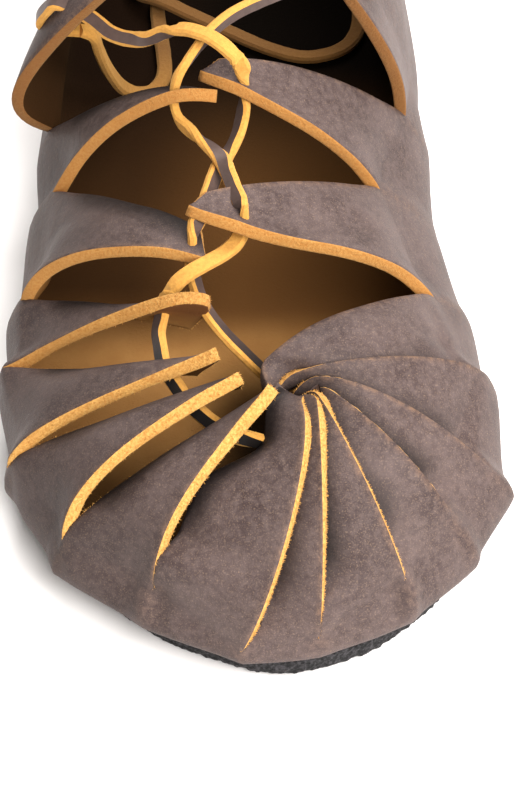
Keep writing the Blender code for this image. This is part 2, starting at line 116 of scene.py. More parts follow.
Lamp = namedtuple("Lamp", "place size watts colour")
LAMPS = {
    "lamp_front": Lamp((0.6, -0.7, 0.86), 1.1, 38, "#fffaf8"),
    "lamp_back": Lamp((0.05, 0.7, 1.05), 0.8, 20, "#fffaf8"),
}
for name, lamp in LAMPS.items():
    light = bpy.data.lights.new(name, "AREA")
    light.size = lamp.size
    light.energy = lamp.watts
    light.color = linear(lamp.colour)[:3]
    holder = bpy.data.objects.new(name, light)
    bpy.context.scene.collection.objects.link(holder)
    holder.location = lamp.place
    holder.rotation_euler = (-Vector(lamp.place)).to_track_quat("-Z", "Y").to_euler()

# The outsole: a flat piece of crepe rubber, cut by knife to the foot's outline and glued under the
# hide. Its cut side is rough with crumbs.
SOLE_THICKNESS = 5.0
SOLE_ROUND = 0.7
SOLE_GAP = 0.3
TOE_SPRING = 1.2
SPRING_START = 38.0
SOLE_SAMPLES = 1300
SOLE_LEVELS = 10
CRUMB_SIZE = 0.9
CRUMB_HEIGHT = 0.4
SPAN_SAMPLES = 40
SoleRow = namedtuple("SoleRow", "y outer inner")
SOLE_TOE = (3.0, 3.4)
SOLE_HEEL = (-8.0, 266.0)
SOLE_ROWS = [
    SoleRow(8.0, -13.0, 19.5),
    SoleRow(14.0, -24.0, 28.0),
    SoleRow(24.0, -35.0, 37.5),
    SoleRow(40.0, -46.0, 45.0),
    SoleRow(56.0, -50.5, 46.0),
    SoleRow(75.0, -52.0, 43.0),
    SoleRow(95.0, -50.0, 36.5),
    SoleRow(130.0, -46.5, 31.0),
    SoleRow(165.0, -44.0, 28.0),
    SoleRow(200.0, -42.5, 25.5),
    SoleRow(233.0, -39.5, 23.0),
    SoleRow(253.0, -31.0, 15.5),
    SoleRow(262.5, -20.5, 4.5),
]


def bezier(points, t):
    """Points of a cubic curve at each share t of its run."""
    a, b, c, d = (np.asarray(p, float) for p in points)
    t = np.asarray(t, float)[:, None]
    return a * (1 - t) ** 3 + 3 * b * t * (1 - t) ** 2 + 3 * c * t**2 * (1 - t) + d * t**3


def run_along(line):
    """How far along a line each of its points lies."""
    return np.concatenate([[0], np.cumsum(np.linalg.norm(np.diff(line, axis=0), axis=1))])


def spread(dense, run, count):
    """Evenly spaced points along a dense open line, for which the run to each point is given."""
    at = np.linspace(0, run[-1], count)
    return np.stack([np.interp(at, run, dense[:, k]) for k in range(dense.shape[1])], -1)


def sole_loop(samples):
    """The sole's plan outline, from the heel along the outer side to the toe and back."""
    outer = [(row.outer, row.y) for row in reversed(SOLE_ROWS)]
    inner = [(row.inner, row.y) for row in SOLE_ROWS]
    corners = np.array([SOLE_HEEL, *outer, SOLE_TOE, *inner], float)
    spans = []
    for p, q, r, s in zip(np.roll(corners, 1, 0), corners, np.roll(corners, -1, 0), np.roll(corners, -2, 0)):
        third = np.linalg.norm(r - q) / 3
        lean_q = (r - p) / np.linalg.norm(r - p) * third
        lean_r = (s - q) / np.linalg.norm(s - q) * third
        spans.append(bezier((q, q + lean_q, r - lean_r, r), np.linspace(0, 1, SPAN_SAMPLES)[:-1]))
    outline = np.concatenate([*spans, spans[0][:1]])
    return spread(outline, run_along(outline), samples + 1)[:-1]


def outward_of(loop):
    """Outward normals of the sole's outline."""
    along = np.roll(loop, -1, 0) - np.roll(loop, 1, 0)
    normal = np.stack([along[:, 1], -along[:, 0]], -1)
    return normal / np.linalg.norm(normal, axis=1)[:, None]


def toe_spring(y):
    """How far the toe lifts off the floor at a distance from its tip."""
    share = np.clip((SPRING_START - np.asarray(y, float)) / SPRING_START, 0, 1)
    return TOE_SPRING * share**2


def wobble(point, size):
    """Smooth noise of about the given grain size at a point, both in millimetres."""
    return noise.noise(Vector(point) / size)


def ladder(ring, turned):
    """Faces that close a ring of point numbers by rungs from side to side."""
    count = len(ring)
    faces = []
    for near in range(count // 2):
        rung = dict.fromkeys(ring[k % count] for k in (near, near + 1, -near - 1, -near))
        if len(rung) > 2:
            faces.append(tuple(reversed(rung)) if turned else tuple(rung))
    return faces


def outsole_mesh():
    """Points and faces of the sole: rings up its rough cut side, closed below and above."""
    loop = sole_loop(SOLE_SAMPLES)
    out = outward_of(loop)
    lift = toe_spring(loop[:, 1])
    points, faces, rings = [], [], []
    for level in range(SOLE_LEVELS + 1):
        height = SOLE_THICKNESS * level / SOLE_LEVELS
        corner = max(SOLE_ROUND - min(height, SOLE_THICKNESS - height), 0) / SOLE_ROUND
        inset = SOLE_ROUND * (1 - math.sqrt(1 - corner**2))
        ring = []
        for plan, normal, up in zip(loop, out, lift):
            crumbs = CRUMB_HEIGHT * wobble((*plan, height), CRUMB_SIZE) - CRUMB_HEIGHT / 2
            x, y = plan + normal * (crumbs - inset)
            ring.append(len(points))
            points.append((x, y, height + up))
        rings.append(ring)
    for low, high in zip(rings, rings[1:]):
        for k in range(SOLE_SAMPLES):
            following = (k + 1) % SOLE_SAMPLES
            faces.append((low[k], low[following], high[following], high[k]))
    return placed(points), faces + ladder(rings[0], True) + ladder(rings[-1], False)


def add_node(tree, kind, inputs=None, **settings):
    """Adds one node with its settings; each input is set to a value or linked from a socket."""
    made = tree.nodes.new(kind)
    for name, value in settings.items():
        setattr(made, name, value)
    for name, value in (inputs or {}).items():
        if isinstance(value, bpy.types.NodeSocket):
            tree.links.new(value, made.inputs[name])
        else:
            made.inputs[name].default_value = value
    return made


# A fade: the value that a colour laid over another comes on along, where it starts and where it is full.
# Places in it are metres from the model's origin.
Fade = namedtuple("Fade", "value start end kind", defaults=["LINEAR"])
# A relief: the pattern of its height, its strength as a share and its depth in millimetres
Relief = namedtuple("Relief", "height strength depth")


def coloured_over(tree, under, over, *fades, most=1.0):
    """A colour with another one over it, which comes on along every fade, up to the given share."""
    share = most
    for fade in fades:
        limits = {"Value": fade.value, "From Min": fade.start, "From Max": fade.end, "To Max": share}
        share = add_node(tree, "ShaderNodeMapRange", limits, interpolation_type=fade.kind).outputs["Result"]
    colours = {0: share, 6: linear(under) if isinstance(under, str) else under, 7: linear(over)}
    return add_node(tree, "ShaderNodeMix", colours, data_type="RGBA").outputs[2]


def surfaced(tree, shader, colour, *reliefs):
    """Gives a shader its colour and its reliefs, each on top of the one before."""
    tree.links.new(colour, shader.inputs["Base Color"])
    below = {}
    for relief in reliefs:
        bump = add_node(tree, "ShaderNodeBump", {"Height": relief.height, "Strength": relief.strength,
                                                 "Distance": relief.depth * MM, **below})
        below = {"Normal": bump.outputs["Normal"]}
    tree.links.new(below["Normal"], shader.inputs["Normal"])


# Crepe rubber, cut: charcoal, matt, with crumbs about a millimetre across that catch the light
crepe, tree, shader = new_material("cut_crepe_rubber", Roughness=0.88, IOR=1.5)
where = add_node(tree, "ShaderNodeTexCoord").outputs["Object"]
crumbs = add_node(tree, "ShaderNodeTexVoronoi",
                  {"Vector": where, "Scale": 1 / (CRUMB_SIZE * MM)}).outputs["Distance"]
dust = add_node(tree, "ShaderNodeTexNoise",
                {"Vector": where, "Scale": 1 / (0.7 * MM), "Detail": 4}).outputs["Fac"]
dusted = coloured_over(tree, "#060607", "#343235", Fade(dust, 0.46, 0.62))
surfaced(tree, shader, dusted, Relief(crumbs, 0.9, 0.6), Relief(dust, 0.7, 0.3))
outsole = new_piece("crepe_outsole", *outsole_mesh(), [crepe])
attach(outsole, "root")
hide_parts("outsole")

# The hide: one thick piece of oiled nubuck, wrapped up round the foot with its grain outside and slit
# from the edge into strips. Each strip lies on the next, from the outer ankle round the toe to the
# inner ankle, and every cut shows its raw ochre inside.
UP = np.array([0.0, 0.0, 1.0])
HIDE = 2.8
LAP_GAP = 0.25
LAP_DIVE = 0.7
LAP = 4.0
LAP_SHARE = 0.4
# The least width from which the direction across a strip is taken
NARROWEST = 0.1
SLIT_WIDTH = 1.8
STRIP_CROWN = 1.5
FEATHER_INSET = 3.0
FEATHER_SAMPLES = 960
# How roundly the wall leaves the sole and how upright it stands at the roots, as shares
WALL_ROUND = 0.95
WALL_UPRIGHT = 0.6
# Faces across a strip, between two rows of a quarter, across its front panel, up the wall and along a
# strip, then rows until a slit is open, until a lap is deep enough and until it is wide
STRIP_COLUMNS = 20
QUARTER_STEPS = 5
QUARTER_COLUMNS = 8
WALL_ROWS = 12
STRIP_ROWS = 40
SLIT_ROWS = 9
DEEP_ROWS = 5
LAP_ROWS = 20
# Where two strips part near their tips, the lower one moves off, and its tip then runs on under the
# middle: the share of their length where each starts, over what share it comes on, and how far it goes
PART_START, PART_OVER = 0.5, 0.3
PART_AWAY = (3.4, 1.0, -2.2)
TAIL_START, TAIL_OVER = 0.76, 0.2
PART_TAIL = (-5.0, 2.5, 1.3)
# How straight a swirl sets out, as a share of its length, and how steeply it comes down to its end
SWIRL_AHEAD = 0.4
SWIRL_FALL = 1.5
# The share of a strip's width over which an edge curls, and the shares of its length over which the
# curl comes on, at which it would end and over which it goes
CURL_SHARE = 0.55
CURL_ON = 0.5
CURL_END, CURL_OFF = 1.08, 0.3
# How far panels pull in between two roots, the share of their width where that is deepest, and how far
# from the foot's middle they do so in full
PANEL_HOLLOW = 2.4
HOLLOW_PLACE = 0.75
HOLLOW_SIDE = 45
# Rounds of evening out the sheet's normals
EVENING = 8
# Painted shade under an edge above: how far it reaches from it, and from the outer strips' rear edges,
# the share of a lap that is out of sight, the edge's lift at which it is darkest, the share of a
# strip's length where it starts, and how fast it comes on
TUCK_WIDTH = 7.5
REAR_TUCK_WIDTH = 10.5
LAP_HIDDEN = 0.8
TUCK_LIFT = 1.2
TUCK_START = 0.1
TUCK_RISE = 5
# Where the painted shade starts on a strip that parts from the one above, and how much of it is out of sight
PARTED_START = 0.24
PARTED_HIDDEN = 0.5
# How dark the outer side is with painted shade, as a share, how far from the middle that starts and over
# what width it comes on
OUTER_SHADE = 0.34
OUTER_SHADE_START = 12
OUTER_SHADE_WIDTH = 34
# Rubbed hide along the cut edges and round the slits' roots: its width, how pale it is, as a share, how
# fast it comes on along an edge, and how many rows it reaches from a root
EDGE_RUB_WIDTH, EDGE_RUB = 0.9, 0.5
ROOT_RUB_WIDTH, ROOT_RUB = 2.5, 0.15
EDGE_RUB_RISE = 8
ROOT_RUB_ROWS = 4.0

# A pull bends an edge between its root and its tip: inwards and up from the root, outwards and
# down from the tip, to the inner side over its whole length, and towards the toe before its tip. A
# swirl carries a tip on towards the middle.
Pull = namedtuple("Pull", "inward rise outward drop sway ahead", defaults=[0, 0])
# A slit: where it starts in the wall, how far the wall bellies out below it, the tip and pull of the
# strip that ends there, those of the next one if they part, the first one's swirl, how far each
# edge curls up, for how many rows the cut stays shut, and whether the two part near their tips
Slit = namedtuple("Slit", "root belly tip pull next_tip next_pull swirl lift next_lift shut parts",
                  defaults=[None, None, None, 0, 0, 0, False])
SLITS = {
    "ankle_outer": Slit((-50, 137, 27), 5, (-20, 141, 84), Pull(-24, 12, 16, 12),
                        (-15.5, 121, 58), Pull(6, 8, 14, 3), lift=-3),
    "instep_outer": Slit((-48, 117, 28), 9, (-10.5, 115.5, 60.5), Pull(5, 12, 17, 0.5),
                         (-14, 87, 49.5), Pull(8, 8, 14, 1), lift=2.2),
    "ball_outer": Slit((-54, 88, 24), 6, (-13, 77.5, 48), Pull(2, 14, 18, 0),
                       (-15, 72, 37), Pull(9, 7, 10, 0), lift=2),
    "toe_1": Slit((-57.5, 72, 20), 3, (-13.5, 68, 47), Pull(13, 8, 9, -1),
                  (-14, 58.5, 38.5), Pull(15, 8, 12, -1), swirl=(1.4, 0.6, -2.2), lift=1.5, next_lift=-3),
    "toe_2": Slit((-55.5, 45, 19), 2, (-10.5, 53.5, 47), Pull(1.5, 12, 14, 8),
                  (-6.5, 52.5, 41.5), Pull(8, 15, 10, 0), lift=0.6, next_lift=-3),
    "toe_3": Slit((-43, 25.5, 19), 5, (-5.5, 47.5, 46), Pull(3, 19, 14, 5),
                  (-1, 47.5, 41.5), Pull(8, 18, 10, -1), lift=1.8, next_lift=-3),
    "toe_4": Slit((-23.5, 13.5, 17), 6, (0.4, 43.7, 47.5), Pull(0, 24, 12, 8),
                  lift=2.2, shut=7, parts=True),
    "toe_5": Slit((-5, 1.5, 12), 1, (7.5, 42, 43), Pull(0, 18, 14, -3, 7),
                  swirl=(0.5, 5, -4), lift=1),
    "toe_6": Slit((11, 4, 13), 2, (10.5, 43.5, 42), Pull(0, 17, 14, -3, 1),
                  swirl=(-4, 4.5, -4.2), lift=1.5, shut=3),
    "toe_7": Slit((29, 14, 20), 5, (10.8, 46, 41), Pull(2, 13, 14, -3, -2),
                  swirl=(-3, 3.4, -4.6), lift=1),
    "toe_8": Slit((39, 29, 23), 9.5, (13.2, 48.2, 39.8), Pull(3, 9, 14, -3, -2, 2),
                  swirl=(-4.4, 2.8, -4.8), lift=1.2),
    "toe_9": Slit((48.5, 44.5, 18), 7.5, (11, 52.4, 39.5), Pull(4, 8, 14, -5, -1, 1.5),
                  swirl=(-5.5, -2, -4), lift=0.8),
    "toe_10": Slit((48.5, 68, 21), 4, (6, 54, 39), Pull(4, 11, 12, -6, 0, 2.5),
                   swirl=(-4, -3.2, -4), lift=0.3),
    "ball_inner": Slit((37, 88, 25), 13, (-0.7, 57.5, 42.5), Pull(6, 10, 14, -9),
                       (-16, 86, 55), Pull(8, 17, 22, 14, 0, 8), swirl=(1, -6, -4), lift=-2.5, next_lift=4),
    "instep_inner": Slit((25.5, 114, 32), 18, (-13, 91.5, 56), Pull(4, 6, 16, 3),
                         (-14.5, 120.5, 61.5), Pull(3, 9, 16, 6, 0, 4), next_lift=3),
    "ankle_inner": Slit((32, 141, 28), 9, (-10, 125.5, 62), Pull(6, 10, 16, 3),
                        (9, 142, 84), Pull(-1, 20, 6, 16)),
}
# The quarters behind the last slits, round the heel from the outer ankle to the inner one: the
# waist of the wall and its belly, the collar above it and the pull between them
Quarter = namedtuple("Quarter", "root belly tip pull")
QUARTERS = [
    Quarter((-49.5, 152, 27), 4, (-24, 153, 86), Pull(-12, 20, 12, 16)),
    Quarter((-48.5, 168, 27), 4, (-31, 169, 81), Pull(-4, 22, 5, 18)),
    Quarter((-46.5, 194, 27), 4, (-35, 196, 70), Pull(0, 18, 2, 14)),
    Quarter((-43.5, 226, 28), 3, (-34, 226, 64), Pull(0, 14, 1, 12)),
    Quarter((-31.5, 257.5, 28), 3, (-25, 252, 64), Pull(0, 14, 0, 12)),
    Quarter((-8, 270, 29), 3, (-8, 264, 66), Pull(0, 14, -1, 12)),
    Quarter((16, 257.5, 28), 3, (9.5, 252, 64), Pull(0, 14, 0, 12)),
    Quarter((27.5, 226, 28), 3, (18, 226, 64), Pull(0, 14, 1, 12)),
    Quarter((31, 194, 27), 4, (20, 196, 70), Pull(0, 18, 2, 14)),
    Quarter((33.5, 168, 27), 4, (18.5, 169, 81), Pull(3, 21, 4, 18)),
    Quarter((33.5, 154, 27), 4, (13, 153, 86), Pull(4, 20, 5, 18)),
]
# Creases that the wearer's foot has pressed in: both ends, half the width and the depth, below zero
# for a ridge
Crease = namedtuple("Crease", "start end width depth")
CREASES = {
    "under_toe_7": Crease((27.4, 12.6, 18.8), (26.8, 10.4, 13.4), 2.2, 1.6),
    "fold_toe_7": Crease((30.4, 13.2, 17.5), (29.2, 11, 12.6), 2.6, -0.7),
    "under_toe_4": Crease((-22, 12.8, 17.4), (-22.6, 10.4, 12.4), 2.2, 0.8),
    "fold_toe_4": Crease((-25.4, 14.4, 17.2), (-26, 11.6, 12.6), 2.4, -0.6),
    "under_toe_3": Crease((-44.6, 26.6, 18), (-43.8, 23.8, 12.4), 2.2, 1.1),
    "under_toe_6": Crease((11, 3.8, 12.4), (10.9, 2.8, 9.4), 1.5, 0.5),
    "under_toe_8": Crease((40.2, 27.6, 21), (42.6, 24, 13.8), 2.6, 0.8),
    "under_toe_2": Crease((-55.4, 44, 17.4), (-53, 42.4, 10), 2.6, 0.9),
    "ball_inner_front": Crease((33, 66, 32.6), (44, 68, 24.4), 1.8, 0.4),
    "ball_inner_rear": Crease((32, 71.5, 32), (42.5, 74.5, 23.4), 2.0, 0.35),
    "instep_inner": Crease((-3.4, 89.4, 50.4), (19, 96, 40.8), 4.0, 0.6),
    "ankle_inner": Crease((10, 124, 52), (27, 130, 33), 4.0, 0.6),
    "ball_outer": Crease((-29, 98, 47.4), (-46, 101, 32), 4.0, 0.6),
}
Edge = namedtuple("Edge", "root belly curve lift shut parts", defaults=[0, 0, False])
# A strip between two edges, and how it meets the next: joined, lapped over it, or open
Strip = namedtuple("Strip", "first last columns crown joint")
SOLE_FINE = sole_loop(FEATHER_SAMPLES)
SOLE_OUTWARD = outward_of(SOLE_FINE)
FEATHER = SOLE_FINE - FEATHER_INSET * SOLE_OUTWARD


def unit(vectors):
    """Vectors of length one."""
    return vectors / np.linalg.norm(vectors, axis=-1, keepdims=True)


def ease(share):
    """A soft rise from 0 to 1."""
    share = np.clip(share, 0, 1)
    return share * share * (3 - 2 * share)


def feather_place(root):
    """The sample of the feather line that lies nearest to a root."""
    return int(np.argmin(np.linalg.norm(FEATHER - np.asarray(root[:2], float), axis=1)))


def feather_point(place):
    """Point and outward direction of the feather line, between samples too."""
    near, share = int(place) % FEATHER_SAMPLES, place % 1
    far = (near + 1) % FEATHER_SAMPLES
    plan = FEATHER[near] * (1 - share) + FEATHER[far] * share
    out = SOLE_OUTWARD[near] * (1 - share) + SOLE_OUTWARD[far] * share
    return np.array([*plan, SOLE_THICKNESS + SOLE_GAP + toe_spring(plan[1])]), np.array([*out, 0.0])


def wall_profile(place, edge):
    """The wall from the feather line out and up to a root, rounded where it leaves the sole."""
    foot, out = feather_point(place)
    root = np.asarray(edge.root, float)
    reach = (root - foot) @ out + edge.belly
    bend = foot + out * reach * WALL_ROUND
    rise = root + out * edge.belly - UP * (root[2] - foot[2]) * WALL_UPRIGHT
    return bezier((foot, bend, rise, root), np.linspace(0, 1, WALL_ROWS + 1))


def edge_curve(root, tip, pull, swirl=None):
    """An edge of a strip from its root to its tip, and on along its swirl."""
    root, tip = np.asarray(root, float), np.asarray(tip, float)
    inward = (tip - root) * (1, 1, 0)
    inward /= np.linalg.norm(inward)
    first = root + inward * pull.inward + UP * pull.rise
    second = tip - inward * pull.outward - UP * pull.drop
    sway = np.array([pull.sway, 0, 0])
    ahead = np.array([0, -pull.ahead, 0])
    dense = bezier((root, first + sway, second + sway + ahead, tip), np.linspace(0, 1, SPAN_SAMPLES))
    if swirl:
        ahead = unit(dense[-1] - dense[-2]) * np.linalg.norm(swirl) * SWIRL_AHEAD
        end = tip + swirl
        more = bezier((tip, tip + ahead, end + UP * SWIRL_FALL, end), np.linspace(0, 1, SPAN_SAMPLES))
        dense = np.concatenate([dense, more[1:]])
    return spread(dense, run_along(dense), STRIP_ROWS + 1)


def through(rows, steps):
    """A smooth line through rows of numbers, in equal steps from each row to the next."""
    rows = np.concatenate([rows[:1] * 2 - rows[1:2], rows, rows[-1:] * 2 - rows[-2:-1]])
    shares = np.linspace(0, 1, steps + 1)[:-1]
    spans = [bezier((q, q + (r - p) / 6, r - (s - q) / 6, r), shares)
             for p, q, r, s in zip(rows, rows[1:], rows[2:], rows[3:])]
    return np.concatenate([*spans, rows[-2:-1]])


def quarter_edges():
    """Upright lines of the quarters, smoothed between the rows of the table."""
    rows = np.array([[*row.root, row.belly, *row.tip, *row.pull] for row in QUARTERS], float)
    lines = through(rows, QUARTER_STEPS)
    return [Edge(row[:3], row[3], edge_curve(row[:3], row[4:7], Pull(*row[7:]))) for row in lines]


def strip_list():
    """Every strip in order, from the heel along the outer side, round the toe and back."""
    slits = SLITS.values()
    behind = quarter_edges()
    half = len(behind) // 2
    ending = [Edge(s.root, s.belly, edge_curve(s.root, s.tip, s.pull, s.swirl), s.lift, s.shut, s.parts)
              for s in slits]
    starting = [Edge(s.root, s.belly, edge_curve(s.root, s.next_tip, s.next_pull), s.next_lift) if s.next_tip
                else edge for s, edge in zip(slits, ending)]
    joints = ["open" if s.next_tip else "lapped" for s in slits]
    outer = [*behind[half::-1], ending[0]]
    inner = [starting[-1], *behind[:half - 1:-1]]
    whole = [Strip(a, b, 1, 0, "joined") for a, b in zip(outer, outer[1:])]
    whole[-1] = whole[-1]._replace(columns=QUARTER_COLUMNS, joint="open")
    for first, last, joint in zip(starting, ending[1:], joints[1:]):
        whole.append(Strip(first, last, STRIP_COLUMNS, STRIP_CROWN, joint))
    whole.append(Strip(inner[0], inner[1], QUARTER_COLUMNS, 0, "joined"))
    return whole + [Strip(a, b, 1, 0, "joined") for a, b in zip(inner[1:], inner[2:])]


def lapped_under(above):
    """The hidden edge of a strip that runs under the last edge of the one above."""
    edge = above.last.curve
    rise = np.arange(STRIP_ROWS + 1)
    back = above.first.curve - edge
    width = np.linalg.norm(back, axis=1, keepdims=True)
    back = back / np.maximum(width, NARROWEST)
    back[0] = back[1]
    up = np.cross(np.gradient(edge, axis=0), -back)
    up = unit(up * np.sign(up @ UP)[:, None])
    deep = ease((rise - above.last.shut) / DEEP_ROWS)[:, None]
    wide = ease((rise - above.last.shut - DEEP_ROWS / 2) / LAP_ROWS)[:, None]
    under = edge - up * (HIDE + LAP_GAP + LAP_DIVE * max(above.last.lift, 0)) * deep
    if above.last.parts:
        run = rise[:, None] / STRIP_ROWS
        away = ease((run - PART_START) / PART_OVER)
        tail = ease((run - TAIL_START) / TAIL_OVER)
        under = under + away * PART_AWAY + tail * PART_TAIL
        wide = wide * (1 - away)
    return under + back * np.minimum(LAP, width * LAP_SHARE) * wide


def strip_points(strip, before):
    """Points of one strip by column and row, from the feather line to its tip."""
    start, end = feather_place(strip.first.root), feather_place(strip.last.root)
    end += FEATHER_SAMPLES if end < start else 0
    along = unit(np.subtract(strip.last.root, strip.first.root))
    opening = along * (SLIT_WIDTH / 2 * ease(np.arange(STRIP_ROWS + 1) / SLIT_ROWS))[:, None]
    first, last = strip.first.curve, strip.last.curve
    if before.joint == "open":
        first = first + opening
    if before.joint == "lapped":
        first = lapped_under(before)
    if strip.joint == "open":
        last = last - opening
    first = np.concatenate([wall_profile(start, strip.first)[:-1], first])
    last = np.concatenate([wall_profile(end, strip.last)[:-1], last])
    rows = np.arange(WALL_ROWS + STRIP_ROWS + 1)
    low = np.clip(1 - rows / WALL_ROWS, 0, 1)[:, None] ** 2
    run = np.clip((rows - WALL_ROWS) / STRIP_ROWS, 0, 1)
    high = np.sin(np.pi * run)[:, None]
    curled = (ease(run / CURL_ON) * ease((CURL_END - run) / CURL_OFF))[:, None]
    waist = (ease(rows / WALL_ROWS) * ease((WALL_ROWS * 2 - rows) / WALL_ROWS))[:, None]
    deepest = HOLLOW_PLACE if strip.first.root[1] > strip.last.root[1] else 1 - HOLLOW_PLACE
    off_middle = abs(strip.first.root[0] + strip.last.root[0]) / 2
    sideways = min(off_middle / HOLLOW_SIDE, 1) ** 2 if strip.crown else 0
    columns = []
    for share in np.linspace(0, 1, strip.columns + 1):
        line = first * (1 - share) + last * share
        foot, out = feather_point(start + (end - start) * share)
        rise = strip.crown * np.sin(np.pi * share) * high
        rise = rise + curled * strip.last.lift * max(0, 1 - (1 - share) / CURL_SHARE) ** 2
        if before.joint == "open":
            rise = rise + curled * strip.first.lift * max(0, 1 - share / CURL_SHARE) ** 2
        dip = min(ease(share / deepest), ease((1 - share) / (1 - deepest)))
        hollow = PANEL_HOLLOW * sideways * dip * waist
        columns.append(line + (foot - line[0]) * low + UP * rise - out * hollow)
    return columns


def strip_shade_and_wear(columns, above, after):
    """How dark the painted shade lies and how much the hide is rubbed, at each point of a strip."""
    grid = np.array(columns)
    rows = np.arange(grid.shape[1]) - WALL_ROWS
    run = np.clip(rows / STRIP_ROWS, 0, 1)
    near = np.linalg.norm(grid - grid[:1], axis=2)
    far = np.linalg.norm(grid - grid[-1:], axis=2)
    root = ROOT_RUB * np.exp(-((rows + 1) / ROOT_RUB_ROWS) ** 2)
    # Painted shade on the outer side, growing away from the middle
    painted_shade = OUTER_SHADE * ease((-grid[:, :, 0] - OUTER_SHADE_START) / OUTER_SHADE_WIDTH)
    rub = np.zeros_like(near)
    # Painted shade under the edge of the strip above, and along the outer strips' open rear edges; rubbed
    # hide round the root
    if above.joint != "joined":
        hidden, begins = 0, TUCK_START
        dark, width = float(above.last.root[0] < 0), REAR_TUCK_WIDTH
        if above.joint == "lapped":
            hidden = LAP * LAP_HIDDEN
            dark, width = min(above.last.lift / TUCK_LIFT, 1), TUCK_WIDTH
        if above.last.parts:
            hidden, begins = PARTED_HIDDEN, PARTED_START
        shade = dark * (1 - ease((near - hidden) / width)) * ease((run - begins) * TUCK_RISE)
        painted_shade = np.maximum(painted_shade, shade)
        rub = root * np.exp(-(near / ROOT_RUB_WIDTH) ** 2)
    if after != "joined":
        rub = np.maximum(rub, EDGE_RUB * ease(run * EDGE_RUB_RISE) * np.exp(-(far / EDGE_RUB_WIDTH) ** 2))
        rub = np.maximum(rub, root * np.exp(-(far / ROOT_RUB_WIDTH) ** 2))
    return painted_shade, rub


def hide_sheet():
    """The hide's grain side as one open sheet: points, faces, painted shade and wear at each point and
    covered rims.
    """
    rows = WALL_ROWS + STRIP_ROWS
    whole = strip_list()
    numbers, points, faces, feather, shade_and_wear, covered = {}, [], [], [], [], set()

    def number_of(key, row, point, shaded_and_worn):
        """The number of a line's point, which is made when it is first asked for."""
        if (key, row) not in numbers:
            numbers[key, row] = len(points)
            points.append(point)
            shade_and_wear.append(shaded_and_worn)
        return numbers[key, row]

    def seam_key(number, row):
        """The line between a strip and the next: shared up to the slit's root, or all the way."""
        return ("seam", number) if row <= WALL_ROWS or whole[number].joint == "joined" else None

    for number, strip in enumerate(whole):
        behind = (number - 1) % len(whole)
        grid = []
        columns = strip_points(strip, whole[behind])
        painted_shade, rub = strip_shade_and_wear(columns, whole[behind], strip.joint)
        for column, line in enumerate(columns):
            made = []
            for row, point in enumerate(line):
                key = ("strip", number, column)
                if column == 0:
                    key = seam_key(behind, row) or key
                if column == strip.columns:
                    key = seam_key(number, row) or key
                made.append(number_of(key, row, point, (painted_shade[column, row], rub[column, row])))
            grid.append(made)
        for left, right in zip(grid, grid[1:]):
            faces += [(left[r], right[r], right[r + 1], left[r + 1]) for r in range(rows)]
        feather += [line[0] for line in grid[:-1]]
        if whole[behind].joint == "lapped":
            covered.update(grid[0][WALL_ROWS + 1:], (line[-1] for line in grid))
    return np.array(points), faces + ladder(feather, True), np.array(shade_and_wear), covered


def face_normals(points, faces):
    """Area-weighted normals of four-sided faces."""
    quads = np.array([face if len(face) == 4 else (*face, face[-1]) for face in faces])
    a, b, c, d = (points[quads[:, k]] for k in range(4))
    return np.cross(c - a, d - b), quads


def point_normals(points, faces, rounds):
    """Normals of the points, evened out over their neighbours."""
    normals, quads = face_normals(points, faces)
    total = np.zeros_like(points)
    for k in range(4):
        np.add.at(total, quads[:, k], normals)
    total = unit(total)
    for _ in range(rounds):
        evened = total.copy()
        for k in range(4):
            np.add.at(evened, quads[:, k], total[quads[:, (k + 1) % 4]])
            np.add.at(evened, quads[:, (k + 1) % 4], total[quads[:, k]])
        total = unit(evened)
    return total


def rim_edges(faces):
    """The sheet's open edges, each as its two points in the order of the face beside it."""
    seen = {}
    for face in faces:
        for a, b in zip(face, face[1:] + face[:1]):
            if a != b:
                seen[frozenset((a, b))] = None if frozenset((a, b)) in seen else (a, b)
    return [edge for edge in seen.values() if edge]


def creased(points, normals):
    """The sheet's points with its creases pressed in and its ridges raised."""
    moved = points.copy()
    for crease in CREASES.values():
        start, run = np.array(crease.start, float), np.subtract(crease.end, crease.start)
        share = np.clip((points - start) @ run / (run @ run), 0, 1)
        away = np.linalg.norm(points - start - share[:, None] * run, axis=1)
        moved -= normals * (crease.depth * np.exp(-(away / crease.width) ** 2))[:, None]
    return moved


# Rows of a cut face between the hide's two sides: the depth of each, as a share of the thickness, and
# how far it stands out
CUT_ROWS = [(0.12, 0.12), (0.35, 0.2), (0.65, 0.2), (0.88, 0.12)]
CUT_ROUGH = 0.22
CUT_GRAIN = 0.55
# Where a cut takes the grain's dark finish instead of raw ochre: shares of its length where that starts and
# ends, and how near to the slit's line it reaches
GrainCut = namedtuple("GrainCut", "start end reach")
GRAIN_CUTS = {"toe_9": GrainCut(0.08, 0.68, 1.6), "toe_10": GrainCut(0.12, 0.74, 1.6), "ball_inner": GrainCut(0.33, 1, 4)}
GRAIN, FLESH, CUT = range(3)


